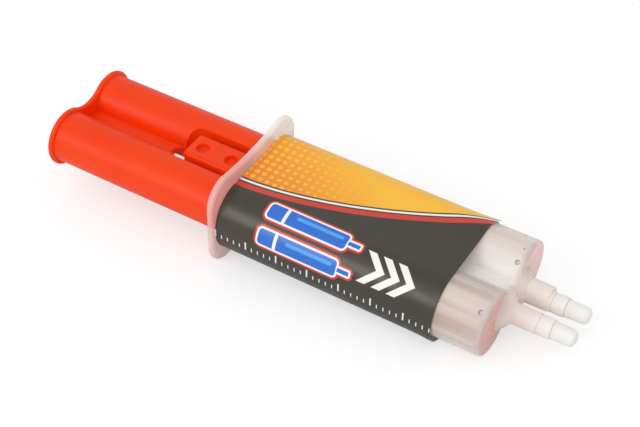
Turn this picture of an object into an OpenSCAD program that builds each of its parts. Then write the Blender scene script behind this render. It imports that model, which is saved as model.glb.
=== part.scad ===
// Two-part adhesive syringe, lying along X with its outlets towards +X.
// Twin barrels with a finger flange hold the two liquids. A double plunger pushes one piston in each.
// The outlets are closed by break-off tips, and the stopper that closes them again sits between the rods.
// The origin is under the middle of the object, on the surface that the flange stands on.

/* [Barrels] */
// Bore of each barrel
bore_d = 16.8; // [13:0.2:22]
// Wall of each barrel
barrel_wall = 1.15; // [0.8:0.05:1.8]
// Gap between the outer walls of the two barrels
barrel_gap = 2.7; // [2:0.1:5]
// Length from the back of the flange to the outside of the end wall
barrel_length = 84.4; // [78:0.1:110]
// Thickness of the end wall
end_wall = 1.6; // [1:0.1:3]
// Rounding of the edge around the end wall
end_round = 0.7; // [0.3:0.1:0.9]
// Height of the web that joins the barrels
barrel_web_h = 8; // [6:0.5:11]

/* [Flange] */
// Thickness of the flange
flange_t = 2; // [1.4:0.1:3]
// How far the flange stands out above and below the barrels
flange_reach = 5.3; // [3:0.1:8]
// How far the flange stands out beside the barrels
flange_side = 1.7; // [0.6:0.1:5]
// Radius of the flange's corners
flange_corner = 7.7; // [5:0.1:10]
// Depth of the hollow in the middle of the flange's long edges
flange_waist = 1.1; // [0.6:0.1:2.5]

/* [Outlets] */
// Diameter of the channel in each outlet
channel_d = 3.6; // [2:0.1:4.2]
// Distance from the edge of the channel to the wall of the bore
channel_inset = 0.3; // [0.2:0.1:1.2]
// Radius of the cone at the foot of each outlet
boss_r = 6.5; // [4.5:0.1:7]
// Height of that cone
boss_h = 2.9; // [2:0.1:5]
// Radius of the outlet where it leaves the cone
spout_r = 3; // [2.6:0.05:3.4]
// How much thinner the outlet gets up to its neck
spout_taper = 0.05; // [0.05:0.05:0.3]
// Length of the outlet from the end wall to its neck
spout_length = 10.1; // [7:0.1:16]
// Radius at both ends of the neck
neck_r = 2.8; // [2.4:0.05:2.9]
// How far the neck swells in the middle
neck_swell = 0.1; // [0.05:0.05:0.2]
// Length of the neck
neck_length = 3.85; // [2.5:0.05:6]
// How far the keyed outlet's collar stands out
key_proud = 1.2; // [0.5:0.1:1.6]
// How far that collar stops short of the neck
key_step = 1; // [0.3:0.1:3]
// Depth of the ring lines around the outlets
ring_depth = 0.15; // [0.05:0.05:0.25]

/* [Tips] */
// Radius of a break-off tip at the break line
tip_r = 2.6; // [2.2:0.05:2.75]
// How much thinner the tip gets towards its end
tip_taper = 0.2; // [0.05:0.05:0.4]
// Length of a tip
tip_length = 6.7; // [4:0.1:10]
// Rounding at the end of a tip
tip_round = 1.4; // [0.6:0.1:1.8]

/* [Plunger] */
// How much smaller in radius a rod is than its bore
rod_gap = 0.65; // [0.6:0.05:1.6]
// How much nearer to each other the rods stand than the bores
rod_inset = 0.45; // [0:0.05:0.5]
// Wall of the hollow rods, where it is thinnest
rod_wall = 1.5; // [1:0.1:2.2]
// Solid length of a rod between its core and the pocket
rod_floor = 2; // [1:0.1:3]
// Thickness of the thumb plate
thumb_t = 1.7; // [1.4:0.1:3]
// How far the thumb plate stands out around the rods
thumb_rim = 1.25; // [0.8:0.05:3]
// Height of the thumb plate's waist as a share of its ends' height
thumb_waist_share = 0.63; // [0.5:0.01:0.8]
// Thickness of the web between the rods
rod_web_t = 2; // [1.4:0.1:3]
// Room left between the thumb plate and the flange when the syringe is empty
finger_room = 8.5; // [4:0.1:16]

/* [Pistons] */
// Length of a piston
piston_length = 7; // [5:0.1:9]
// Length of each of its two sealing lips
piston_lip = 1.8; // [1:0.1:2.2]
// Depth of the groove between the lips
piston_groove = 0.7; // [0.3:0.1:1]
// Length of the spigot that sits in the rod
spigot_length = 5; // [3:0.1:8]

/* [Stopper] */
// Length of the stopper beyond the centre of each plug
stopper_margin = 4.4; // [2.8:0.1:5]
// Width of the ledge under each side of the stopper
stopper_ledge = 2.05; // [1:0.05:2.4]
// How far the stopper's top lies below the top of the rods
stopper_drop = 0.8; // [0.2:0.1:1.5]
// Rounding of the stopper's edges
stopper_round = 0.5; // [0.2:0.1:0.8]
// Diameter of the dimples in its top
dimple_d = 4.2; // [2.5:0.1:4.6]
// Depth of the dimples
dimple_depth = 1.5; // [0.4:0.1:2]
// Distance from each end of the stopper to the middle of its dimple
dimple_margin = 4.1; // [2.8:0.1:4.4]
// Length of its plugs
plug_length = 4.5; // [3:0.1:5.5]
// Wall of the rods between the flange and the pocket
pocket_front = 1.4; // [1:0.1:3]
// Gap behind the stopper, for a fingernail
pocket_back_gap = 4.2; // [4.2:0.1:7]
// Gap beside the stopper
pocket_side_gap = 2.5; // [2:0.1:3.4]
// Corner radius of the pocket, seen from above
pocket_corner = 4.3; // [1:0.1:4.4]

/* [Label] */
// Thickness of the label
label_t = 0.2; // [0.1:0.05:0.4]
// How far the loose underside of the label hangs down
label_sag = 1.5; // [0.5:0.1:2]
// Bare length of barrel in front of the label
bare_front = 13.8; // [8:0.1:24]

/* [Clearances] */
// Radial clearance of a piston in its bore
piston_clearance = 0.05; // [0.02:0.01:0.1]
// Radial clearance of the spigots and plugs in their holes
spigot_clearance = 0.08; // [0.02:0.01:0.15]
// Clearance above, below and ahead of the rods' web in its slot
slot_clearance = 0.4; // [0.2:0.05:0.8]
// Gap at seats and joints where two pieces lie together
seat_gap = 0.1; // [0.05:0.05:0.2]
// Gap between the piston and the end wall when the syringe is empty
empty_gap = 0.3; // [0.1:0.1:1]
// Gap between the stopper's front end and the pocket
stopper_front_gap = 0.5; // [0.3:0.1:1]

/* [Hidden] */
$fn = 96;
overrun = 1;
// How far the hollows of an outline cut into its rounded corners, so that the arcs cross
hollow_bite = 0.01;
resin = -1;
hardener = 1;

// Barrels and flange
bore_r = bore_d / 2;
barrel_r = bore_r + barrel_wall;
barrel_y = barrel_r + barrel_gap / 2;
bore_end = barrel_length - end_wall;
flange_half_w = barrel_y + barrel_r + flange_side;
flange_half_h = barrel_r + flange_reach;

// Outlets
channel_r = channel_d / 2;
outlet_y = barrel_y - (bore_r - channel_r - channel_inset);
neck_start = barrel_length + spout_length;
neck_end = neck_start + neck_length;
key_r = spout_r + key_proud / 2;
swell_share = 0.55;

// Plunger. The web's slot in the barrels ends behind the pistons, and that fixes the stroke.
rod_r = bore_r - rod_gap;
rod_y = barrel_y - rod_inset;
core_r = rod_r - rod_inset - rod_wall;
rods_apart = 2 * (rod_y - rod_r);
stopper_w = rods_apart + 2 * stopper_ledge;
stopper_l = 2 * (outlet_y + stopper_margin);
pocket_back = pocket_front + stopper_front_gap + stopper_l + pocket_back_gap;
seal_margin = 2;
stroke = (bore_end - empty_gap - piston_length + pocket_back - slot_clearance - seal_margin) / 2;
slot_depth = stroke - pocket_back + slot_clearance;
piston_back = slot_depth + seal_margin;
piston_front = piston_back + piston_length;
rod_out = stroke + finger_room;
thumb_r = rod_r + thumb_rim;
web_end_margin = 0.3;
web_end_r = rods_apart / 2 + web_end_margin;

// Stopper, between the rods
pocket_floor = rod_web_t / 2;
stopper_bottom = pocket_floor + seat_gap;
stopper_top = rod_r - stopper_drop;
stopper_front = -(pocket_front + stopper_front_gap);
stopper_x = stopper_front - stopper_l / 2;

// Label
label_start = flange_t + seat_gap;
label_end = barrel_length - bare_front;
label_r = barrel_r + seat_gap + label_t;

// The object's own frame
x_back = -(rod_out + thumb_t);
x_front = neck_end + seat_gap + tip_length;
x_middle = (x_back + x_front) / 2;

// Moves a shape drawn from the back of the flange and the barrels' axes into the object's frame
module placed() {
    translate([-x_middle, 0, flange_half_h]) children();
}

// Turns an outline in Y and Z into a bar along X
module along_x(from, to) {
    translate([from, 0, 0]) rotate([90, 0, 90]) linear_extrude(to - from) children();
}

// Turns an outline of radius and length into a body about an axis along X
module about_x(from, y) {
    translate([from, y, 0]) rotate([0, 90, 0]) rotate_extrude() children();
}

// Round bar along X
module bar_x(from, to, y, r) {
    translate([from, y, 0]) rotate([0, 90, 0]) cylinder(h = to - from, r = r);
}

// Rectangle with round corners, centred
module rounded_rect(length, width, r) {
    square([length - 2 * r, width], center = true);
    square([length, width - 2 * r], center = true);
    for (x = [r - length / 2, length / 2 - r], y = [r - width / 2, width / 2 - r])
        translate([x, y]) circle(r);
}

// Block with all its edges rounded, standing on z = 0 and centred in X and Y
module rounded_block(size, r) {
    intersection() {
        linear_extrude(size.z) rounded_rect(size.x, size.y, r);
        translate([0, 0, size.z / 2]) rotate([90, 0, 90]) linear_extrude(2 * size.x, center = true)
            rounded_rect(size.y, size.z, r);
        translate([0, 0, size.z / 2]) rotate([90, 0, 0]) linear_extrude(2 * size.y, center = true)
            rounded_rect(size.x, size.z, r);
    }
}

// Radius of the hollow that joins two rounded corners, with its lowest point at height w
function hollow_r(yc, zc, rc, w) = (yc * yc + (w - zc) * (w - zc) - rc * rc) / (2 * (rc - (w - zc)));

// Outline with four round corners at (yc, zc) and hollowed long edges of half height w
module waisted_outline(yc, zc, rc, w) {
    rf = hollow_r(yc, zc, rc, w);
    turn = atan2(w + rf - zc, -yc);
    joint = [yc + rc * cos(turn), zc + rc * sin(turn)];
    difference() {
        polygon([[yc, zc], joint, [-joint.x, joint.y], [-yc, zc],
                 [-yc, -zc], [-joint.x, -joint.y], [joint.x, -joint.y], [yc, -zc]]);
        for (side = [-1, 1])
            translate([0, side * (w + rf)]) circle(rf + hollow_bite);
    }
    for (y = [-yc, yc], z = [-zc, zc])
        translate([y, z]) circle(rc);
    if (zc > 0)
        translate([-yc - rc, -zc]) square([2 * (yc + rc), 2 * zc]);
}

// Outer body of one barrel, with its front edge rounded
module barrel_body(side) {
    about_x(0, side * barrel_y) {
        square([barrel_r, barrel_length - end_round]);
        square([barrel_r - end_round, barrel_length]);
        translate([barrel_r - end_round, barrel_length - end_round]) circle(end_round);
    }
}

// Cone, outlet and neck of one barrel
module outlet(side) {
    bar_x(bore_end, barrel_length, side * outlet_y, boss_r);
    translate([barrel_length, side * outlet_y, 0]) rotate([0, 90, 0])
        cylinder(h = boss_h, r1 = boss_r, r2 = spout_r);
    about_x(barrel_length, side * outlet_y)
        polygon([[0, 0], [spout_r, 0],
                 [spout_r - spout_taper, spout_length - ring_depth],
                 [neck_r - ring_depth, spout_length],
                 [neck_r, spout_length + ring_depth],
                 [neck_r + neck_swell, spout_length + neck_length * swell_share],
                 [neck_r, spout_length + neck_length - ring_depth],
                 [neck_r - ring_depth, spout_length + neck_length],
                 [0, spout_length + neck_length]]);
}

// Eccentric collar that keys one outlet, flush with it on the inner side
module key_collar(side) {
    bar_x(barrel_length, neck_start - key_step, side * (outlet_y + key_r - spout_r), key_r);
}

module barrel() {
    color([0.87, 0.80, 0.77, 0.7]) placed() difference() {
        union() {
            for (side = [resin, hardener]) {
                barrel_body(side);
                outlet(side);
            }
            key_collar(hardener);
            translate([0, -barrel_y, -barrel_web_h / 2])
                cube([barrel_length - end_round, 2 * barrel_y, barrel_web_h]);
            along_x(0, flange_t)
                waisted_outline(flange_half_w - flange_corner, flange_half_h - flange_corner,
                                flange_corner, flange_half_h - flange_waist);
        }
        for (side = [resin, hardener]) {
            bar_x(-overrun, bore_end, side * barrel_y, bore_r);
            bar_x(bore_end - overrun, neck_end + overrun, side * outlet_y, channel_r);
        }
        translate([-overrun, -barrel_y, -rod_web_t / 2 - slot_clearance])
            cube([slot_depth + overrun, 2 * barrel_y, rod_web_t + 2 * slot_clearance]);
    }
}

// Loop around both barrels: close on top, hanging loose below
module label_loop(r) {
    for (side = [resin, hardener], z = [0, -label_sag])
        translate([side * barrel_y, z]) circle(r);
    translate([-barrel_y - r, -label_sag]) square([2 * (barrel_y + r), label_sag]);
    translate([-barrel_y, -label_sag - r]) square([2 * barrel_y, label_sag + 2 * r]);
}

module label() {
    color([0.27, 0.26, 0.24]) placed() along_x(label_start, label_end) difference() {
        label_loop(label_r);
        label_loop(label_r - label_t);
    }
}

// Pocket for the stopper, open at the top, with its corners rounded as seen from above
module pocket() {
    translate([-(pocket_front + pocket_back) / 2, 0, pocket_floor]) linear_extrude(rod_r + overrun)
        rounded_rect(pocket_back - pocket_front, stopper_w + 2 * pocket_side_gap, pocket_corner);
}

// Web between the rods, with a hollow end behind the pocket
module rod_web() {
    difference() {
        translate([-rod_out, -rod_y, -rod_web_t / 2])
            cube([rod_out - pocket_back, 2 * rod_y, rod_web_t]);
        translate([-pocket_back, 0, -rod_web_t]) cylinder(h = 2 * rod_web_t, r = web_end_r);
    }
}

module plunger() {
    color([0.96, 0.29, 0.12]) placed() difference() {
        union() {
            along_x(x_back, -rod_out)
                waisted_outline(rod_y, 0, thumb_r, thumb_r * thumb_waist_share);
            for (side = [resin, hardener])
                bar_x(-rod_out, piston_back, side * rod_y, rod_r);
            rod_web();
        }
        pocket();
        for (side = [resin, hardener]) {
            bar_x(x_back - overrun, -pocket_back - rod_floor, side * barrel_y, core_r);
            bar_x(rod_floor - pocket_front, piston_back + overrun, side * barrel_y, core_r);
        }
    }
}

// Piston with two sealing lips and a spigot that sits in the end of a rod
module piston(side) {
    lip_r = bore_r - piston_clearance;
    groove_r = lip_r - piston_groove;
    color([0.93, 0.92, 0.89]) placed() about_x(piston_back, side * barrel_y)
        polygon([[0, -spigot_length], [core_r - spigot_clearance, -spigot_length],
                 [core_r - spigot_clearance, 0], [lip_r, 0],
                 [lip_r, piston_lip], [groove_r, piston_lip + piston_groove],
                 [groove_r, piston_length - piston_lip - piston_groove],
                 [lip_r, piston_length - piston_lip], [lip_r, piston_length], [0, piston_length]]);
}

module piston_resin() { piston(resin); }
module piston_hardener() { piston(hardener); }

// Liquid that fills one barrel in front of its piston
module charge(side) {
    placed() bar_x(piston_front + seat_gap, bore_end - seat_gap, side * barrel_y, bore_r - seat_gap);
}

module resin_charge() { color([0.93, 0.80, 0.76, 0.6]) charge(resin); }
module hardener_charge() { color([0.92, 0.86, 0.82, 0.6]) charge(hardener); }

// Break-off tip that closes one outlet
module tip(side) {
    end_r = tip_r - tip_taper;
    color([0.94, 0.93, 0.90]) placed() about_x(neck_end + seat_gap, side * outlet_y) {
        polygon([[0, 0], [tip_r - ring_depth, 0], [tip_r, ring_depth],
                 [end_r, tip_length - tip_round], [0, tip_length - tip_round]]);
        translate([0, tip_length - tip_round - ring_depth]) square([end_r - tip_round, tip_round + ring_depth]);
        intersection() {
            translate([end_r - tip_round, tip_length - tip_round]) circle(tip_round);
            translate([0, tip_length - tip_round]) square([tip_r, tip_round]);
        }
    }
}

module tip_resin() { tip(resin); }
module tip_hardener() { tip(hardener); }

// Stopper: a rounded block with two dimples on top and two plugs below
module stopper() {
    size = [stopper_l, stopper_w, stopper_top - stopper_bottom];
    color([0.96, 0.29, 0.12]) placed() translate([stopper_x, 0, stopper_bottom]) difference() {
        union() {
            rounded_block(size, stopper_round);
            for (x = [-outlet_y, outlet_y])
                translate([x, 0, -plug_length])
                    cylinder(h = plug_length + size.z / 2, r = channel_r - spigot_clearance);
        }
        for (x = [dimple_margin - size.x / 2, size.x / 2 - dimple_margin])
            translate([x, 0, size.z - dimple_depth])
                cylinder(h = dimple_depth + overrun, d = dimple_d);
    }
}

barrel();
label();
plunger();
piston_resin();
piston_hardener();
resin_charge();
hardener_charge();
tip_resin();
tip_hardener();
stopper();
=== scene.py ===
import math

import bmesh
import bpy
from mathutils import Matrix, Vector


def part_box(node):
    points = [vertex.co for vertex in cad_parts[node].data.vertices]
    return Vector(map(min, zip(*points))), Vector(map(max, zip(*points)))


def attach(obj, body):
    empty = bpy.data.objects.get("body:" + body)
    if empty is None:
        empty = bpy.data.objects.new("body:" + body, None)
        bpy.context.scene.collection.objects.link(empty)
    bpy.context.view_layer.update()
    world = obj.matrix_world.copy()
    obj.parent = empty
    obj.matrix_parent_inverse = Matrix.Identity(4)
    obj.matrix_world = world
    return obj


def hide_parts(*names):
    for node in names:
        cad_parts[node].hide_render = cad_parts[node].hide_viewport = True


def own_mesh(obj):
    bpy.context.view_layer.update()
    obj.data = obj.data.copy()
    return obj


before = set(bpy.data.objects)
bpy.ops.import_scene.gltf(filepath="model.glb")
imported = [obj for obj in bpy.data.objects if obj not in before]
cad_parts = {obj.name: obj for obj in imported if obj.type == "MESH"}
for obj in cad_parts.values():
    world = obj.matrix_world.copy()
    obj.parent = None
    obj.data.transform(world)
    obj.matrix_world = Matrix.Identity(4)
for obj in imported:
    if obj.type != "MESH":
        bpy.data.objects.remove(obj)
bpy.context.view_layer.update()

# Shapes are built in millimetres, from the back of the flange and the plane of the barrels' axes, and are
# then moved into the frame.
MM = 0.001
sharp_angle = 35
flat_normal = 0.9999
barrel_low, barrel_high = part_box("barrel")
design_origin = Vector((barrel_low.x, 0, (barrel_low.z + barrel_high.z) / 2))
to_frame = Matrix.Translation(design_origin) @ Matrix.Scale(MM, 4)


def design_box(node):
    """A node's lowest and highest corners in millimetres, from the back of the flange."""
    low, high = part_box(node)
    return (low - design_origin) / MM, (high - design_origin) / MM


# Barrels and flange
barrel_r = 9.55
bore_r = 8.4
barrel_y = 10.9
barrel_length = 84.4
end_wall = 1.6
end_round = 0.7
barrel_web_h = 8.0
bore_end = barrel_length - end_wall
flange_t = 2.0
flange_corner = 7.7
flange_waist = 1.1
flange_rim = 0.95
flange_half_w = design_box("barrel")[1].y
flange_half_h = design_box("barrel")[1].z
slot_depth = 24.9
slot_h = 2.8

# Outlets
outlet_y = 4.6
channel_r = 1.8
boss_r = 6.5
boss_h = 2.9
spout_r = 3.0
spout_taper = 0.05
neck_r = 2.8
neck_swell = 0.1
swell_share = 0.55
spout_length = 10.1
neck_length = 3.85
neck_start = barrel_length + spout_length
neck_end = neck_start + neck_length
ring_depth = 0.15
key_r = 3.6
key_step = 1.0
key_round = 0.35
key_proud = 0.03
break_ring = 0.06
break_gap = 0.02

# Plunger
plunger_low, plunger_high = design_box("plunger")
rod_r = 7.75
rod_y = 10.45
core_r = 5.8
rod_fillet = 0.3
thumb_t = 1.7
thumb_rim = 0.8
thumb_r = plunger_high.z
thumb_waist_share = 0.63
thumb_waist = thumb_waist_share * thumb_r
thumb_back = plunger_low.x
rod_back = thumb_back + thumb_t
rod_front = plunger_high.x
rod_web_t = 2.0
rod_floor = 2.0
rods_apart = 2 * (rod_y - rod_r)
web_end_margin = 0.3
web_end_r = rods_apart / 2 + web_end_margin
web_end_round = 0.9
pocket_front = -1.4
pocket_back = -24.1
pocket_half_w = 7.25
pocket_corner = 4.3
pocket_floor = rod_web_t / 2
pocket_edge = 0.3
pocket_edge_angle = 25
overrun = 1.0

# Stopper
stopper_low, stopper_high = design_box("stopper")
plug_length = 4.5
plug_r = 1.72
plug_chamfer = 0.3
stopper_bottom = stopper_low.z + plug_length
stopper_round = 0.45
stopper_corner = 1.0
dimple_r = 2.1
dimple_depth = 1.5
dimple_round = 0.15
dimple_margin = 4.1
step_width = 0.95
step_depth = 0.15

# Break-off tips
tip_low, tip_high = design_box("tip_resin")
tip_r = (tip_high.z - tip_low.z) / 2
tip_round = 1.4
tip_taper = 0.2

# Pistons
spigot_gap = 0.08
piston_lip = 1.8
piston_groove = 0.7
piston_round = 0.25

# Liquids
charge_low, charge_high = design_box("resin_charge")
charge_r = charge_high.z
charge_round = 0.4

# Air bubbles in the skin of the barrels: side, distance from the front, angle around the barrel and radius
wall_bubbles = ((-1, 2.3, 123, 0.8), (-1, 3.6, 62, 0.45), (-1, 3.9, 84, 0.3), (-1, 6.4, 165, 0.26),
                (1, 2.1, 124, 0.74), (1, 2.1, 97, 0.45), (1, 4.6, 60, 0.3))
# A round of painted shade and a painted highlight in front of it: share of the radius, shift forwards in
# radii, and height
bubble_layers = ((1.0, 0.0, 0.02), (0.8, 0.32, 0.035))
bubble_segments = 20
bubble_rings = 12

# Label
label_low, label_high = design_box("label")
label_t = 0.2
label_r = label_high.z
label_sag = -label_low.z - label_r
label_length = label_high.x - label_low.x
label_start_angle = 60
label_end_angle = 35
label_dip = 0.3
slack_wave = 4.5
label_lap = 0.25
lap_width = 12
lap_blend = 7
label_skew = 0.35
skew_width = 14
label_lift = 0.45
lift_length = 9
lip_angle = -158
lip_spread = 22
corner_width = 6
label_columns = 46
label_bend_step = 3
label_run_steps = 24

# Resting surface, in metres: it carries the flange and the front of the label
floor_size = 4.0
floor_tilt = math.atan2(flange_half_h - label_r - label_sag, label_high.x - flange_t)

# Camera, at the photograph's viewing angle
camera_azimuth = math.radians(30.0)
camera_elevation = math.radians(43.91)
camera_roll = math.radians(1.41)
camera_distance = 409.8
camera_aim = Vector((23.323, 1.039, -0.341))
camera_lens = 80.8

# Lights
sky_strength = 0.78
floor_glow = 0.56


# Mesh building

def mesh_object(name, points, faces):
    """A new object in the scene from points and faces."""
    mesh = bpy.data.meshes.new(name)
    mesh.from_pydata([tuple(p) for p in points], [], faces)
    mesh.validate()
    made = bpy.data.objects.new(name, mesh)
    bpy.context.scene.collection.objects.link(made)
    return made


def point_outwards(made):
    """Turns all faces of a closed mesh outwards."""
    work = bmesh.new()
    work.from_mesh(made.data)
    bmesh.ops.recalc_face_normals(work, faces=work.faces)
    work.to_mesh(made.data)
    work.free()


def loft(name, rings):
    """A closed solid through rings of the same number of points, with a flat face at each end."""
    count = len(rings[0])
    points = [p for ring in rings for p in ring]
    faces = [tuple(range(count))[::-1]]
    for a in range(len(rings) - 1):
        for i in range(count):
            j = (i + 1) % count
            faces.append((a * count + i, a * count + j, (a + 1) * count + j, (a + 1) * count + i))
    last = (len(rings) - 1) * count
    faces.append(tuple(range(last, last + count)))
    made = mesh_object(name, points, faces)
    point_outwards(made)
    return made


def lathe(name, profile, y, segments=96):
    """A solid of revolution about an axis along X, from (x, radius) points with no point on the axis."""
    def ring(x, r):
        turns = [2 * math.pi * (k + 0.5) / segments for k in range(segments)]
        return [(x, y + r * math.cos(t), r * math.sin(t)) for t in turns]
    return loft(name, [ring(x, r) for x, r in profile])


def arc(x, r, radius, start, end, steps=6):
    """Points of an arc about (x, r) in a profile, from one angle to another, in degrees from +X."""
    angles = [math.radians(start + (end - start) * k / steps) for k in range(steps + 1)]
    return [(x + radius * math.cos(a), r + radius * math.sin(a)) for a in angles]


def box(name, low, high):
    """A block between two corners."""
    xs, ys, zs = zip(low, high)
    points = [(x, y, z) for x in xs for y in ys for z in zs]
    faces = [(0, 1, 3, 2), (4, 6, 7, 5), (0, 4, 5, 1), (2, 3, 7, 6), (0, 2, 6, 4), (1, 5, 7, 3)]
    made = mesh_object(name, points, faces)
    point_outwards(made)
    return made


def boolean(made, tools, operation):
    """Joins the tools to a solid, or cuts them from it, one after another, and removes them."""
    for tool in tools:
        step = made.modifiers.new("step", "BOOLEAN")
        step.operation = operation
        step.solver = "EXACT"
        step.object = tool
        depsgraph = bpy.context.evaluated_depsgraph_get()
        result = bpy.data.meshes.new_from_object(made.evaluated_get(depsgraph))
        made.modifiers.clear()
        made.data = result
        bpy.data.objects.remove(tool)
    return made


def finished(made, body, node, materials, flat_axis=0):
    """Moves a solid into the frame, shades it and lets it stand for its CAD node."""
    made.data.transform(to_frame)
    made.data.shade_smooth()
    for face in made.data.polygons:
        if abs(face.normal[flat_axis]) > flat_normal:
            face.use_smooth = False
    made.data.set_sharp_from_angle(angle=math.radians(sharp_angle))
    made.data.materials.clear()
    for material in materials:
        made.data.materials.append(material)
    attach(made, body)
    if node:
        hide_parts(node)
    return made


def waisted_ring(x, inset, yc, zc, rc, w, corner_steps=16, hollow_steps=24):
    """Outline with four round corners and hollowed long edges, drawn in by inset, as points at x."""
    drop = w - zc
    rf = (yc * yc + drop * drop - rc * rc) / (2 * (rc - drop))
    turn = math.atan2(drop + rf, -yc)
    side = []
    for k in range(corner_steps + 1):
        a = turn * k / corner_steps
        side.append((yc + (rc - inset) * math.cos(a), zc + (rc - inset) * math.sin(a)))
    start = math.atan2(-(drop + rf), yc)
    for k in range(1, hollow_steps):
        a = start + (-math.pi - 2 * start) * k / hollow_steps
        side.append(((rf + inset) * math.cos(a), w + rf + (rf + inset) * math.sin(a)))
    top = side + [(-y, z) for y, z in reversed(side[:corner_steps + 1])]
    bottom = [(-y, -z) for y, z in (top[1:-1] if zc == 0 else top)]
    return [(x, y, z) for y, z in top + bottom]


def quarter_round(radius, steps):
    """Pairs of (depth, inset) along a rounded edge, from its side to its flat face."""
    quarter = [math.pi / 2 * k / steps for k in range(steps + 1)]
    return [(radius * (1 - math.sin(a)), radius * (1 - math.cos(a))) for a in quarter]


def rounded_plate(name, back, front, rim, yc, zc, rc, w):
    """A plate with a waisted outline and a rounded rim."""
    edge = quarter_round(rim, 8)
    rings = [waisted_ring(back + depth, inset, yc, zc, rc, w) for depth, inset in reversed(edge)]
    rings += [waisted_ring(front - depth, inset, yc, zc, rc, w) for depth, inset in edge]
    return loft(name, rings)


def rounded_rect_ring(z, x_low, x_high, half_w, corner, steps=10):
    """Rectangle with round corners, as points at height z."""
    points = []
    for xc, yc, start in ((x_high - corner, half_w - corner, 0), (x_low + corner, half_w - corner, 90),
                          (x_low + corner, corner - half_w, 180), (x_high - corner, corner - half_w, 270)):
        for k in range(steps + 1):
            a = math.radians(start + 90 * k / steps)
            points.append((xc + corner * math.cos(a), yc + corner * math.sin(a), z))
    return points


def upright(made, x):
    """Turns a lathe from the X axis to an axis along Z at x."""
    made.data.transform(Matrix.Translation((x, 0, 0)) @ Matrix.Rotation(-math.pi / 2, 4, "Y"))
    return made


# Material building

def connect(tree, socket, value):
    """Links a node's output to a socket, or sets the socket to a constant."""
    if isinstance(value, bpy.types.NodeSocket):
        tree.links.new(value, socket)
    else:
        socket.default_value = value


def add(tree, kind, inputs=None, **settings):
    """A new node with its settings and inputs."""
    node = tree.nodes.new(kind)
    for name, value in settings.items():
        setattr(node, name, value)
    for name, value in (inputs or {}).items():
        connect(tree, node.inputs[name], value)
    return node


def calc(tree, operation, a, b=0.0, c=0.0, clamp=False):
    """The result of one step of arithmetic."""
    node = add(tree, "ShaderNodeMath", {0: a, 1: b, 2: c}, operation=operation, use_clamp=clamp)
    return node.outputs[0]


def mixed(tree, factor, a, b):
    """Colour a where the factor is 0, and colour b where it is 1."""
    node = add(tree, "ShaderNodeMix", {0: factor, 6: a, 7: b}, data_type="RGBA")
    return node.outputs[2]


def linear(red, green, blue):
    """A colour given as 0 to 255, as the linear colour that a shader takes."""
    def channel(v):
        v /= 255
        return v / 12.92 if v <= 0.04045 else ((v + 0.055) / 1.055) ** 2.4
    return (channel(red), channel(green), channel(blue), 1.0)


def new_material(name):
    """A material with its node tree and its one surface shader."""
    material = bpy.data.materials.new(name)
    material.use_nodes = True
    tree = material.node_tree
    tree.nodes.clear()
    surface = add(tree, "ShaderNodeBsdfPrincipled")
    output = add(tree, "ShaderNodeOutputMaterial")
    tree.links.new(surface.outputs[0], output.inputs["Surface"])
    return material, tree, surface


def set_inputs(tree, node, **inputs):
    """Sets a node's inputs by name, with _ for each space."""
    for name, value in inputs.items():
        connect(tree, node.inputs[name.replace("_", " ")], value)


def position(tree):
    """A point's place on the object, in metres."""
    return add(tree, "ShaderNodeTexCoord").outputs["Object"]


def place_on(tree, axis):
    """A point's place on the X, Y or Z axis, with the axis given as 0, 1 or 2."""
    return add(tree, "ShaderNodeSeparateXYZ", {0: position(tree)}).outputs[axis]


def noise(tree, scale, stretch=(1, 1, 1), detail=3.0):
    """Smooth noise about 0.5, stretched along the axes."""
    mapped = add(tree, "ShaderNodeMapping", {"Vector": position(tree), "Scale": stretch})
    node = add(tree, "ShaderNodeTexNoise", {"Vector": mapped.outputs[0], "Scale": scale, "Detail": detail})
    return node.outputs[0]


def ranged(tree, value, low, high, start=0.3, end=0.7):
    """Takes a value from start to end over to low to high."""
    node = add(tree, "ShaderNodeMapRange", {"Value": value, "From Min": start, "From Max": end,
                                            "To Min": low, "To Max": high})
    return node.outputs[0]


def bump(tree, height, strength, distance):
    """A surface direction roughened by a height."""
    node = add(tree, "ShaderNodeBump", {"Height": height, "Strength": strength, "Distance": distance})
    return node.outputs[0]


def along(tree, start, end):
    """0 to 1 along X between two places given in millimetres from the flange."""
    low, high = (design_origin.x + place * MM for place in (start, end))
    return ranged(tree, place_on(tree, 0), 0.0, 1.0, low, high)


def resin_side(tree):
    """1 on the resin's side of the middle plane, 0 on the hardener's side."""
    blend = 4 * MM
    return ranged(tree, place_on(tree, 1), 1.0, 0.0, -blend, blend)


def between_barrels(tree):
    """1 between the barrels, 0 on them."""
    full, gone = 3 * MM, 8 * MM
    return ranged(tree, calc(tree, "ABSOLUTE", place_on(tree, 1)), 1.0, 0.0, full, gone)


def underside(tree):
    """1 below the barrels' axes, 0 above them."""
    full, gone = (design_origin.z + height * MM for height in (-5, 1))
    return ranged(tree, place_on(tree, 2), 1.0, 0.0, full, gone)


def clouded(tree, cloud, colour_a, colour_b):
    """A colour that drifts between two with a noise."""
    return mixed(tree, ranged(tree, cloud, 0.0, 1.0), colour_a, colour_b)


def plunger_material():
    """Satin moulded polypropylene with faint flow patches and draw lines along the rods."""
    material, tree, surface = new_material("plunger_plastic")
    patches = noise(tree, 60.0)
    grain = noise(tree, 2600.0, detail=2.0)
    drawn = noise(tree, 700.0, stretch=(0.05, 1, 1))
    colour = clouded(tree, patches, linear(242, 60, 0), linear(246, 67, 1))
    set_inputs(tree, surface, Base_Color=colour, Specular_IOR_Level=0.26,
               Subsurface_Weight=0.3, Subsurface_Radius=(1.0, 0.2, 0.05), Subsurface_Scale=0.0015,
               Roughness=ranged(tree, drawn, 0.34, 0.46), Normal=bump(tree, grain, 0.08, 0.00005))
    return material


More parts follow.
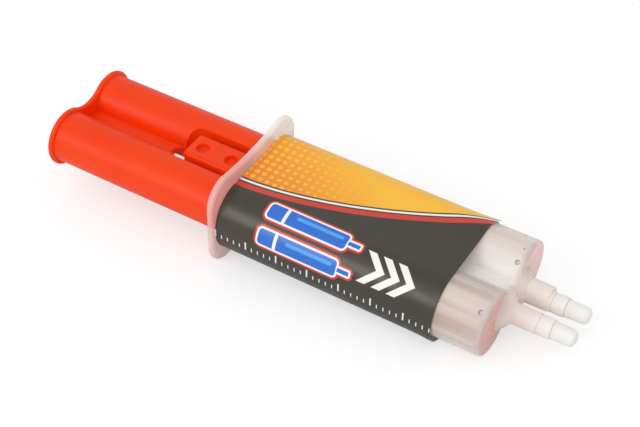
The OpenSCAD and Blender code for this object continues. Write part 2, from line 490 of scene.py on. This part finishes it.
def barrel_material():
    """Milky see-through plastic, whiter and denser in the middle and at the necks, with painted reflections
    and painted light.
    """
    material, tree, surface = new_material("barrel_plastic")
    # Painted reflection: dark bands along the barrels stand for the label's reflection, strongest at the
    # label and fading towards the front.
    painted_reflection_bands = ranged(tree, noise(tree, 330.0, stretch=(0.02, 1, 1), detail=2.5), 0.0, 1.0, 0.38, 0.62)
    label_reflection_fade = ranged(tree, along(tree, label_high.x, barrel_length), 1.0, 0.55, 0.0, 1.0)
    side = resin_side(tree)
    middle = between_barrels(tree)
    front = along(tree, bore_end, barrel_length - end_round)
    spout = along(tree, barrel_length, barrel_length + boss_h)
    neck = along(tree, neck_start - spout_r, neck_end)
    flange = along(tree, flange_t + label_t, flange_t)
    pale = mixed(tree, side, linear(250, 243, 236), linear(240, 229, 220))
    deep = mixed(tree, side, linear(234, 216, 206), linear(202, 182, 170))
    # Whiter on the hardener's side. The pink on the resin's side is a painted red glow from the plunger
    # behind the flange.
    flange_colour_and_red_glow = mixed(tree, side, linear(255, 248, 243), linear(253, 212, 204))
    colour = mixed(tree, calc(tree, "MULTIPLY", painted_reflection_bands, label_reflection_fade), pale, deep)
    # Painted bounce light: the barrels are paler below their axes.
    colour = mixed(tree, underside(tree), colour, linear(252, 242, 234))
    # Painted light: whiter in the valley between the barrels, which lies in shade.
    colour = mixed(tree, middle, colour, linear(250, 246, 242))
    colour = mixed(tree, front, colour, linear(243, 224, 216))
    colour = mixed(tree, flange, colour, flange_colour_and_red_glow)
    colour = mixed(tree, spout, colour, linear(244, 231, 223))
    colour = mixed(tree, neck, colour, linear(249, 248, 243))
    density = ranged(tree, calc(tree, "MAXIMUM", middle, spout), 0.66, 0.9, 0.0, 1.0)
    density = ranged(tree, flange, density, 0.56, 0.0, 1.0)
    grain = noise(tree, 2200.0, detail=2.0)
    set_inputs(tree, surface, Base_Color=colour, Alpha=density, IOR=1.45,
               Roughness=ranged(tree, noise(tree, 90.0), 0.22, 0.34), Normal=bump(tree, grain, 0.05, 0.00005))
    return material


def bore_material():
    """The clear inner faces, through which the liquids and pistons show."""
    material, tree, surface = new_material("bore_plastic")
    cloud = noise(tree, 200.0)
    colour = clouded(tree, cloud, linear(246, 232, 226), linear(238, 220, 212))
    set_inputs(tree, surface, Base_Color=colour, Alpha=ranged(tree, cloud, 0.08, 0.14), IOR=1.45,
               Roughness=ranged(tree, cloud, 0.2, 0.3))
    return material


def end_wall_material():
    """The flat end walls, where the liquid shows deepest."""
    material, tree, surface = new_material("end_wall_plastic")
    cloud = noise(tree, 260.0)
    side = resin_side(tree)
    pale = mixed(tree, side, linear(254, 211, 205), linear(233, 181, 171))
    deep = mixed(tree, side, linear(250, 203, 197), linear(226, 170, 160))
    colour = clouded(tree, cloud, pale, deep)
    set_inputs(tree, surface, Base_Color=colour, IOR=1.45, Roughness=ranged(tree, cloud, 0.24, 0.34))
    return material


def tip_material():
    """Milky plastic, whiter than the barrels."""
    material, tree, surface = new_material("tip_plastic")
    cloud = noise(tree, 240.0)
    grain = noise(tree, 2200.0, detail=2.0)
    colour = clouded(tree, cloud, linear(247, 246, 241), linear(243, 241, 236))
    set_inputs(tree, surface, Base_Color=colour, Alpha=0.92, IOR=1.45, Subsurface_Weight=0.4,
               Subsurface_Radius=(1.0, 0.9, 0.8), Subsurface_Scale=0.002,
               Roughness=ranged(tree, cloud, 0.26, 0.38), Normal=bump(tree, grain, 0.05, 0.00005))
    return material


def piston_material():
    """Soft natural plastic."""
    material, tree, surface = new_material("piston_plastic")
    cloud = noise(tree, 160.0)
    colour = clouded(tree, cloud, linear(240, 237, 229), linear(230, 226, 216))
    set_inputs(tree, surface, Base_Color=colour, Roughness=ranged(tree, cloud, 0.45, 0.6),
               Subsurface_Weight=0.2, Subsurface_Radius=(1.0, 0.9, 0.8), Subsurface_Scale=0.001)
    return material


def liquid_material(name, colour_a, colour_b):
    """Smooth, thick liquid with faint streaks."""
    material, tree, surface = new_material(name)
    cloud = noise(tree, 120.0, stretch=(0.4, 1, 1))
    colour = clouded(tree, cloud, colour_a, colour_b)
    set_inputs(tree, surface, Base_Color=colour, Roughness=ranged(tree, cloud, 0.1, 0.18), IOR=1.5)
    return material


def bubble_material(name, colour_a, colour_b):
    """See-through plastic over one layer of a bubble, in the colour of its painted shade or its painted
    highlight.
    """
    material, tree, surface = new_material(name)
    cloud = noise(tree, 900.0)
    colour = clouded(tree, cloud, colour_a, colour_b)
    set_inputs(tree, surface, Base_Color=colour, Alpha=0.52, IOR=1.45,
               Roughness=ranged(tree, cloud, 0.2, 0.3))
    return material


# Printed label: warm black film with a swept orange field, a pictogram of two cartridges, arrows and a scale.
# Places on the print are in millimetres: u from the flange forwards, v around the film from its top middle.

print_edge = 0.14
sweep_start = -6.5
sweep_rise = 24.0
sweep_power = 1.7
sweep_line = (1.0, 0.4)
sweep_band = (3.0, 1.0)
glow_forwards = 0.02
glow_around = 0.03
dot_pitch = 2.4
dot_size = 0.85
dot_fade = -0.016
cartridge_places = ((26.0, -13.6), (26.0, -21.6))
cartridge_half = (13.0, 2.9)
cartridge_corner = 1.6
cartridge_rim = 0.6
nozzle_half = (2.4, 1.2)
nozzle_corner = 0.7
nozzle_reach = 1.6
arrow_tips = ((52.0, -17.6), (56.6, -17.6), (61.2, -17.6))
arrow_half = 4.6
arrow_thick = 2.6
# Pitch, width and half length of the short and the long ticks, and where their rows start
tick_sizes = ((2.0, 0.3, 0.7), (10.0, 0.45, 1.4))
tick_rows = (-28.5, -72.0)
stripe = (-78.0, 1.6)
black_ink = linear(44, 41, 36)
deep_black_ink = linear(38, 36, 32)
orange_ink = linear(243, 128, 18)
yellow_ink = linear(250, 188, 38)
white_ink = linear(244, 242, 236)
red_ink = linear(206, 44, 28)
blue_ink = linear(0, 104, 208)
pale_blue_ink = linear(70, 160, 236)
film_back = linear(232, 214, 206)


def band_distance(tree, value, middle, half):
    """Signed distance to a band about a middle line."""
    offset = calc(tree, "ABSOLUTE", calc(tree, "SUBTRACT", value, middle))
    return calc(tree, "SUBTRACT", offset, half)


def bar_distance(tree, u, v, middle, half, corner):
    """Signed distance to a bar with round corners."""
    across = calc(tree, "ADD", band_distance(tree, u, middle[0], half[0]), corner)
    around = calc(tree, "ADD", band_distance(tree, v, middle[1], half[1]), corner)
    out_u = calc(tree, "MAXIMUM", across, 0.0)
    out_v = calc(tree, "MAXIMUM", around, 0.0)
    square = calc(tree, "MULTIPLY_ADD", out_u, out_u, calc(tree, "MULTIPLY", out_v, out_v))
    within = calc(tree, "MINIMUM", calc(tree, "MAXIMUM", across, around), 0.0)
    reach = calc(tree, "ADD", calc(tree, "SQRT", square), within)
    return calc(tree, "SUBTRACT", reach, corner)


def chevron_distance(tree, u, v, tip, half, thick):
    """Signed distance to an arrow head that points forwards."""
    off_middle = calc(tree, "ABSOLUTE", calc(tree, "SUBTRACT", v, tip[1]))
    place = calc(tree, "ADD", calc(tree, "SUBTRACT", u, tip[0] - thick), off_middle)
    slant = calc(tree, "MULTIPLY", band_distance(tree, place, thick / 2, thick / 2), math.sqrt(0.5))
    return calc(tree, "MAXIMUM", slant, calc(tree, "SUBTRACT", off_middle, half))


def tick_distance(tree, u, v, pitch, width, middle, half):
    """Signed distance to a row of ticks along the film."""
    across = calc(tree, "SUBTRACT", calc(tree, "PINGPONG", u, pitch / 2), width / 2)
    return calc(tree, "MAXIMUM", across, band_distance(tree, v, middle, half))


def paint(tree, under, distance, ink):
    """Lays ink over a colour wherever a signed distance is below zero, with a soft printed edge."""
    cover = calc(tree, "MULTIPLY_ADD", distance, -1 / print_edge, 0.5, clamp=True)
    return mixed(tree, cover, under, ink)


def print_field(tree, colour, u, v):
    """Orange field with a curved edge and fading dots, edged by a white line and a red band."""
    share = calc(tree, "MULTIPLY", u, 1 / label_length)
    edge = calc(tree, "MULTIPLY_ADD", calc(tree, "POWER", share, sweep_power), sweep_rise, sweep_start)
    below = calc(tree, "SUBTRACT", edge, v)
    glow = calc(tree, "MULTIPLY_ADD", u, glow_forwards, calc(tree, "MULTIPLY", v, glow_around), clamp=True)
    ink = mixed(tree, glow, orange_ink, yellow_ink)
    across = calc(tree, "PINGPONG", u, dot_pitch / 2)
    around = calc(tree, "PINGPONG", v, dot_pitch / 2)
    square = calc(tree, "MULTIPLY_ADD", across, across, calc(tree, "MULTIPLY", around, around))
    size = calc(tree, "MULTIPLY_ADD", u, dot_fade, dot_size)
    ink = paint(tree, ink, calc(tree, "SUBTRACT", calc(tree, "SQRT", square), size), yellow_ink)
    colour = paint(tree, colour, below, ink)
    colour = paint(tree, colour, band_distance(tree, below, *sweep_line), white_ink)
    return paint(tree, colour, band_distance(tree, below, *sweep_band), red_ink)


def print_cartridge(tree, colour, u, v, middle):
    """Blue bar with a white rim and red outline, a pale fill, a piston and a short nozzle."""
    nozzle = (middle[0] + cartridge_half[0] + nozzle_reach, middle[1])
    for grow, ink in ((cartridge_rim, red_ink), (0.0, white_ink), (-cartridge_rim, blue_ink)):
        bar_half = [half + grow for half in cartridge_half]
        stub_half = [half + grow for half in nozzle_half]
        bar = bar_distance(tree, u, v, middle, bar_half, cartridge_corner + grow)
        stub = bar_distance(tree, u, v, nozzle, stub_half, nozzle_corner + grow)
        colour = paint(tree, colour, calc(tree, "MINIMUM", bar, stub), ink)
    fill = bar_distance(tree, u, v, (middle[0] + 3.6, middle[1] + 0.7), (7.4, 0.55), 0.55)
    piston = bar_distance(tree, u, v, (middle[0] - 7.0, middle[1]), (0.5, 2.3), 0.3)
    colour = paint(tree, colour, fill, pale_blue_ink)
    return paint(tree, colour, piston, white_ink)


def label_material():
    """Semi-gloss film with the print on its outer face."""
    material, tree, surface = new_material("label_film")
    place = add(tree, "ShaderNodeAttribute", attribute_name="print_place").outputs["Vector"]
    u, v, printed = add(tree, "ShaderNodeSeparateXYZ", {0: place}).outputs
    mottle = ranged(tree, noise(tree, 180.0), 0.0, 1.0)
    colour = mixed(tree, mottle, black_ink, deep_black_ink)
    colour = print_field(tree, colour, u, v)
    for middle in cartridge_places:
        colour = print_cartridge(tree, colour, u, v, middle)
    for tip in arrow_tips:
        arrow = chevron_distance(tree, u, v, tip, arrow_half, arrow_thick)
        colour = paint(tree, colour, arrow, white_ink)
    for pitch, width, half in tick_sizes:
        for base in tick_rows:
            ticks = tick_distance(tree, u, v, pitch, width, base + half, half)
            colour = paint(tree, colour, ticks, white_ink)
    colour = paint(tree, colour, band_distance(tree, v, *stripe), orange_ink)
    colour = mixed(tree, printed, film_back, colour)
    film = noise(tree, 500.0, stretch=(0.2, 1, 1), detail=4.0)
    set_inputs(tree, surface, Base_Color=colour, Roughness=ranged(tree, mottle, 0.3, 0.38, 0.0, 1.0),
               Specular_IOR_Level=0.8, Specular_Tint=(1.0, 0.92, 0.8, 1.0),
               Normal=bump(tree, film, 0.06, 0.0001))
    return material


# Pieces

def make_barrel(material, bore_face, end_face):
    """Both barrels with the web, flange and outlets, hollow inside."""
    body = rounded_plate("barrel_body", 0, flange_t, flange_rim, flange_half_w - flange_corner,
                         flange_half_h - flange_corner, flange_corner, flange_half_h - flange_waist)
    web_low = (flange_t / 2, -barrel_y, -barrel_web_h / 2)
    web_high = (barrel_length - end_round, barrel_y, barrel_web_h / 2)
    added = [box("web", web_low, web_high)]
    cut = []
    swell_x = neck_start + swell_share * neck_length
    outlet = [(bore_end, boss_r), (barrel_length, boss_r), (barrel_length + boss_h, spout_r),
              (neck_start - ring_depth, spout_r - spout_taper), (neck_start, neck_r - ring_depth),
              (neck_start + ring_depth, neck_r), (swell_x, neck_r + neck_swell),
              (neck_end - break_ring, neck_r), (neck_end, neck_r - break_ring)]
    outer = [(flange_t / 2, barrel_r)]
    outer += arc(barrel_length - end_round, barrel_r - end_round, end_round, 90, 0)
    for side in (-1, 1):
        added.append(lathe("outer", outer, side * barrel_y, 128))
        added.append(lathe("outlet", outlet, side * outlet_y, 72))
        cut.append(lathe("bore", [(-overrun, bore_r), (bore_end, bore_r)], side * barrel_y, 128))
        cut.append(lathe("channel", [(bore_end - overrun, channel_r), (neck_end + overrun, channel_r)],
                         side * outlet_y, 48))
    key_end = neck_start - key_step
    collar = [(barrel_length - end_round, key_r)]
    collar += arc(key_end - key_round, key_r - key_round, key_round, 90, 0)
    added.append(lathe("collar", collar, outlet_y + key_r - spout_r - key_proud, 72))
    cut.append(box("slot", (-overrun, -barrel_y, -slot_h / 2), (slot_depth, barrel_y, slot_h / 2)))
    boolean(body, added, "UNION")
    boolean(body, cut, "DIFFERENCE")
    finished(body, "barrel", "barrel", [material, bore_face, end_face])
    close = 0.1
    for face in body.data.polygons:
        place = to_frame.inverted() @ face.center
        off_bore = abs(math.hypot(abs(place.y) - barrel_y, place.z) - bore_r)
        if place.x < bore_end and off_bore < close and abs(face.normal.x) < close:
            face.material_index = 1
        elif face.normal.x > flat_normal and abs(place.x - barrel_length) < end_round / 2:
            face.material_index = 2


def soften_pocket(made):
    """Rounds the rim where the pocket opens through the rods."""
    work = bmesh.new()
    work.from_mesh(made.data)
    close = 0.05
    rim = []
    for edge in work.edges:
        ends = [p.co for p in edge.verts]
        in_pocket = all(pocket_back - close < p.x < pocket_front + close and p.z > pocket_floor + overrun
                        and abs(p.y) < pocket_half_w + close for p in ends)
        on_rod = all(abs(math.hypot(abs(p.y) - rod_y, p.z) - rod_r) < close for p in ends)
        if in_pocket and on_rod and edge.calc_face_angle(0) > math.radians(pocket_edge_angle):
            rim.append(edge)
    bmesh.ops.bevel(work, geom=rim, offset=pocket_edge, segments=3, profile=0.5, affect="EDGES",
                    clamp_overlap=True)
    work.to_mesh(made.data)
    work.free()


def make_plunger(material):
    """Rods, thumb plate, web and the stopper's pocket."""
    body = rounded_plate("plunger_body", thumb_back, rod_back, thumb_rim, rod_y, 0, thumb_r, thumb_waist)
    web = box("web", (rod_back - thumb_t / 2, -rod_y, -rod_web_t / 2), (pocket_back, rod_y, rod_web_t / 2))
    turns = [2 * math.pi * k / 48 for k in range(48)]
    flare = [(-rod_web_t, web_end_r)]
    flare += [(rod_web_t / 2 - depth, web_end_r + inset) for depth, inset in quarter_round(web_end_round, 6)]
    flare += [(rod_web_t, web_end_r + web_end_round)]
    hollow = loft("hollow", [[(pocket_back + r * math.cos(t), r * math.sin(t), z) for t in turns]
                             for z, r in flare])
    boolean(web, [hollow], "DIFFERENCE")
    added = [web]
    cut = [loft("pocket", [rounded_rect_ring(z, pocket_back, pocket_front, pocket_half_w, pocket_corner)
                           for z in (pocket_floor, rod_r + overrun)])]
    rod = [(rod_back - thumb_t / 2, rod_r + rod_fillet)]
    rod += arc(rod_back + rod_fillet, rod_r + rod_fillet, rod_fillet, 180, 270)
    rod += [(rod_front, rod_r)]
    for side in (-1, 1):
        added.append(lathe("rod", rod, side * rod_y, 90))
        cut.append(lathe("back_core", [(thumb_back - overrun, core_r), (pocket_back - rod_floor, core_r)],
                         side * barrel_y, 72))
        cut.append(lathe("front_core", [(pocket_front + rod_floor, core_r), (rod_front + overrun, core_r)],
                         side * barrel_y, 72))
    boolean(body, added, "UNION")
    boolean(body, cut, "DIFFERENCE")
    soften_pocket(body)
    finished(body, "plunger", "plunger", [material])


def make_stopper(material):
    """Rounded block with two dimples and a low step on top, and two plugs below."""
    def ring(z, inset):
        return rounded_rect_ring(z, stopper_low.x + inset, stopper_high.x - inset, stopper_high.y - inset,
                                 stopper_corner - inset)
    edge = quarter_round(stopper_round, 5)
    rings = [ring(stopper_bottom + depth, inset) for depth, inset in reversed(edge)]
    rings += [ring(stopper_high.z - depth, inset) for depth, inset in edge]
    body = loft("stopper_body", rings)
    middle = (stopper_low.x + stopper_high.x) / 2
    plug = [(stopper_low.z, plug_r - plug_chamfer), (stopper_low.z + plug_chamfer, plug_r),
            (stopper_bottom + stopper_round, plug_r)]
    floor_z = stopper_high.z - dimple_depth
    dimple = arc(floor_z + dimple_round, dimple_r - dimple_round, dimple_round, 180, 90)
    dimple += arc(stopper_high.z - dimple_round, dimple_r + dimple_round, dimple_round, 270, 360)
    dimple += [(stopper_high.z + overrun, dimple_r + dimple_round)]
    added = [upright(lathe("plug", plug, 0, 48), middle + side * outlet_y) for side in (-1, 1)]
    cut = [upright(lathe("dimple", dimple, 0, 64), x)
           for x in (stopper_low.x + dimple_margin, stopper_high.x - dimple_margin)]
    cut.append(box("step", (stopper_low.x - overrun, stopper_low.y - overrun, stopper_high.z - step_depth),
                   (stopper_high.x + overrun, stopper_low.y + step_width, stopper_high.z + overrun)))
    boolean(body, added, "UNION")
    boolean(body, cut, "DIFFERENCE")
    finished(body, "stopper", "stopper", [material], flat_axis=2)


def make_tips(material):
    """Break-off tips, drawn up to the necks that they break from."""
    back = neck_end + break_gap
    profile = [(back, tip_r - break_ring), (back + break_ring, tip_r)]
    profile += arc(tip_high.x - tip_round, tip_r - tip_taper - tip_round, tip_round, 90, 2, steps=10)
    for side, name in ((-1, "tip_resin"), (1, "tip_hardener")):
        made = lathe(name + "_moulding", profile, side * outlet_y, 72)
        finished(made, name, name, [material])


def make_pistons(material):
    """Seals with two rounded lips, and the spigots that sit in the rods."""
    spigot_r = core_r - spigot_gap
    lip, groove, soft = piston_lip, piston_groove, piston_round
    back = rod_front
    for side, name in ((-1, "piston_resin"), (1, "piston_hardener")):
        low, high = design_box(name)
        lip_r = (high.z - low.z) / 2
        profile = [(low.x, spigot_r - soft), (low.x + soft, spigot_r), (back, spigot_r), (back, lip_r - soft)]
        profile += arc(back + soft, lip_r - soft, soft, 180, 90)[1:]
        profile += [(back + lip, lip_r), (back + lip + groove, lip_r - groove),
                    (high.x - lip - groove, lip_r - groove), (high.x - lip, lip_r)]
        profile += arc(high.x - soft, lip_r - soft, soft, 90, 0)
        made = lathe(name + "_seal", profile, side * barrel_y)
        finished(made, "plunger", name, [material])


def shorten_with_plunger(made):
    """Gives a piece in the liquid a mesh of its own."""
    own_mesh(made)


def make_charges(materials):
    """The liquids in the barrels."""
    profile = arc(charge_low.x + charge_round, charge_r - charge_round, charge_round, 180, 90)
    profile += arc(charge_high.x - charge_round, charge_r - charge_round, charge_round, 90, 0)
    for side, name in ((-1, "resin"), (1, "hardener")):
        made = lathe(name + "_fill", profile, side * barrel_y)
        finished(made, "barrel", name + "_charge", [materials[name]])
        shorten_with_plunger(made)


def make_bubbles(materials):
    """Flat lenses in the barrels' skin, with painted shade at the edge at the back and a painted highlight
    inside.
    """
    work = bmesh.new()
    for side, gap, angle, r in wall_bubbles:
        turn = Matrix.Rotation(math.radians(angle - 90), 4, "X")
        for share, shift, height in bubble_layers:
            axis = Vector((barrel_length - gap + shift * r, side * barrel_y, 0))
            place = axis + turn @ Vector((0, 0, barrel_r))
            shape = Matrix.Diagonal((share * r, share * r, height, 1))
            bmesh.ops.create_uvsphere(work, u_segments=bubble_segments, v_segments=bubble_rings, radius=1,
                                      matrix=Matrix.Translation(place) @ turn @ shape)
    mesh = bpy.data.meshes.new("wall_air")
    work.to_mesh(mesh)
    work.free()
    made = bpy.data.objects.new("wall_air", mesh)
    bpy.context.scene.collection.objects.link(made)
    finished(made, "barrel", None, materials)
    for face in made.data.polygons:
        face.material_index = face.index // (bubble_segments * bubble_rings) % len(materials)


def label_route():
    """Places and outward directions around the film's middle layer, from the start of the lap to its end."""
    r = label_r - label_t / 2
    route = []

    def bend(y, z, start, end):
        steps = max(2, round(abs(end - start) / label_bend_step))
        for k in range(steps + 1):
            a = math.radians(start + (end - start) * k / steps)
            out = Vector((0, math.cos(a), math.sin(a)))
            route.append((Vector((0, y, z)) + out * r, out))

    def run(y):
        last, out = route[-1]
        for k in range(1, label_run_steps):
            route.append((Vector((0, last.y + (y - last.y) * k / label_run_steps, last.z)), out))

    bend(barrel_y, 0, label_start_angle, 0)
    bend(barrel_y, -label_sag, 0, -90)
    run(-barrel_y)
    bend(-barrel_y, -label_sag, -90, -180)
    bend(-barrel_y, 0, 180, 90)
    run(barrel_y)
    bend(barrel_y, 0, 90, label_end_angle)
    return route


def smooth(value):
    """A soft step from 0 to 1."""
    value = min(1.0, max(0.0, value))
    return value * value * (3 - 2 * value)


def label_offset(u, y, out, left):
    """How far the film stands off its route: a dip across the top, a slack underside and a lifted lap."""
    level = max(0.0, 1 - (y / barrel_y) ** 2)
    offset = label_lap * smooth((lap_width - left) / lap_blend)
    if out.z > flat_normal:
        offset -= label_dip * level
    if out.z < -flat_normal:
        offset -= label_dip * level * (1 + math.sin(u / slack_wave))
    front = max(0.0, (u - label_length + lift_length) / lift_length)
    angle = math.degrees(math.atan2(out.z, out.y))
    lip = math.exp(-((angle - lip_angle) / lip_spread) ** 2)
    return offset + label_lift * front ** 2 * (lip + smooth((corner_width - left) / corner_width))


def make_label(material):
    """Film wrapped once around both barrels, lapped on the far side and slack below."""
    route = label_route()
    lengths = [0.0]
    for (a, _), (b, _) in zip(route, route[1:]):
        lengths.append(lengths[-1] + (b - a).length)
    close = 0.01
    top = next(length for length, (place, out) in zip(lengths, route)
               if out.z > flat_normal and place.y > -close)
    columns = label_columns
    outer, inner, outer_print, inner_print = [], [], [], []
    for length, (place, out) in zip(lengths, route):
        left = lengths[-1] - length
        for k in range(columns + 1):
            u = label_length * k / columns
            skew = label_skew * smooth((skew_width - left) / skew_width) * u / label_length
            forwards = Vector((label_low.x + u + skew, 0, 0))
            middle = place + out * label_offset(u, place.y, out, left) + forwards
            outer.append(middle + out * label_t / 2)
            inner.append(middle - out * label_t / 2)
            outer_print.append((u, length - top, 1))
            inner_print.append((u, length - top, 0))
    wide, last, back = columns + 1, len(route) - 1, len(outer)
    faces = []
    for i in range(last):
        for k in range(columns):
            a, b = i * wide + k, (i + 1) * wide + k
            faces.append((a, a + 1, b + 1, b))
            faces.append((back + b, back + b + 1, back + a + 1, back + a))
        for a, b in ((i * wide, (i + 1) * wide), ((i + 1) * wide + columns, i * wide + columns)):
            faces.append((a, b, back + b, back + a))
    for k in range(columns):
        a, b = k, last * wide + k
        faces.append((a + 1, a, back + a, back + a + 1))
        faces.append((b, b + 1, back + b + 1, back + b))
    made = mesh_object("label_wrap", outer + inner, faces)
    point_outwards(made)
    printed = made.data.attributes.new("print_place", "FLOAT_VECTOR", "POINT")
    for item, value in zip(printed.data, outer_print + inner_print):
        item.vector = value
    finished(made, "barrel", "label", [material])


# Stage, lights and camera

def make_floor():
    """Pale paper that shows white to the camera and keeps the object's shadow."""
    half = floor_size / 2
    floor = mesh_object("floor", [(-half, -half, 0), (half, -half, 0), (half, half, 0), (-half, half, 0)],
                        [(0, 1, 2, 3)])
    pivot = to_frame @ Vector((flange_t, 0, -flange_half_h))
    floor.matrix_world = Matrix.Translation(pivot) @ Matrix.Rotation(-floor_tilt, 4, "Y")
    material, tree, surface = new_material("floor_paper")
    seen = add(tree, "ShaderNodeLightPath").outputs["Is Camera Ray"]
    paper = clouded(tree, noise(tree, 300.0), (0.84, 0.84, 0.84, 1), (0.86, 0.86, 0.86, 1))
    colour = mixed(tree, seen, paper, (0.5, 0.5, 0.5, 1))
    set_inputs(tree, surface, Base_Color=colour, Roughness=0.9, Specular_IOR_Level=0.0,
               Emission_Color=(1, 1, 1, 1), Emission_Strength=calc(tree, "MULTIPLY", seen, floor_glow))
    floor.data.materials.append(material)


def make_world():
    """Even white light from all around."""
    world = bpy.data.worlds.new("studio")
    world.use_nodes = True
    tree = world.node_tree
    tree.nodes.clear()
    sky = add(tree, "ShaderNodeBackground", {"Color": (1, 1, 1, 1), "Strength": sky_strength})
    add(tree, "ShaderNodeOutputWorld", {"Surface": sky.outputs[0]})
    bpy.context.scene.world = world


def make_lamp(name, direction, distance, size, energy):
    """A round lamp that shines on the object from a direction."""
    data = bpy.data.lights.new(name, "AREA")
    data.shape = "DISK"
    data.size = size
    data.energy = energy
    lamp = bpy.data.objects.new(name, data)
    bpy.context.scene.collection.objects.link(lamp)
    back = Vector(direction).normalized()
    lamp.location = back * distance
    lamp.rotation_euler = back.to_track_quat("Z", "Y").to_euler()


def make_camera():
    """The camera, aimed and turned as in the photograph."""
    data = bpy.data.cameras.new("camera")
    data.lens = camera_lens
    data.sensor_width = 36.0
    data.clip_start = 0.01
    data.clip_end = 20.0
    camera = bpy.data.objects.new("camera", data)
    bpy.context.scene.collection.objects.link(camera)
    level = math.cos(camera_elevation)
    across, deep = math.cos(camera_azimuth), math.sin(camera_azimuth)
    right = Vector((across, deep, 0))
    back = Vector((deep * level, -across * level, math.sin(camera_elevation)))
    up = back.cross(right)
    turned = Matrix((math.cos(camera_roll) * right + math.sin(camera_roll) * up,
                     math.cos(camera_roll) * up - math.sin(camera_roll) * right, back)).transposed()
    place = to_frame @ (camera_aim + camera_distance * back)
    camera.matrix_world = Matrix.Translation(place) @ turned.to_4x4()
    bpy.context.scene.camera = camera


plunger_plastic = plunger_material()
# Painted shade at each bubble's back edge and a painted highlight inside it.
bubble_shade_and_highlight = [bubble_material("bubble_painted_shade", linear(190, 148, 138), linear(180, 136, 126)),
                bubble_material("bubble_painted_highlight", linear(250, 238, 230), linear(246, 232, 222))]
liquids = {
    "resin": liquid_material("resin_liquid", linear(236, 204, 192), linear(226, 188, 176)),
    "hardener": liquid_material("hardener_liquid", linear(240, 222, 212), linear(232, 204, 194)),
}
make_barrel(barrel_material(), bore_material(), end_wall_material())
make_plunger(plunger_plastic)
make_stopper(plunger_plastic)
make_tips(tip_material())
make_pistons(piston_material())
make_charges(liquids)
make_bubbles(bubble_shade_and_highlight)
make_label(label_material())
make_floor()
make_world()
make_lamp("key", direction=(-0.36, -0.79, 0.55), distance=0.7, size=0.35, energy=0.82)
make_lamp("fill", direction=(0.15, -0.5, 0.85), distance=0.8, size=0.5, energy=0.9)
make_camera()
bpy.context.scene.view_settings.view_transform = "Standard"
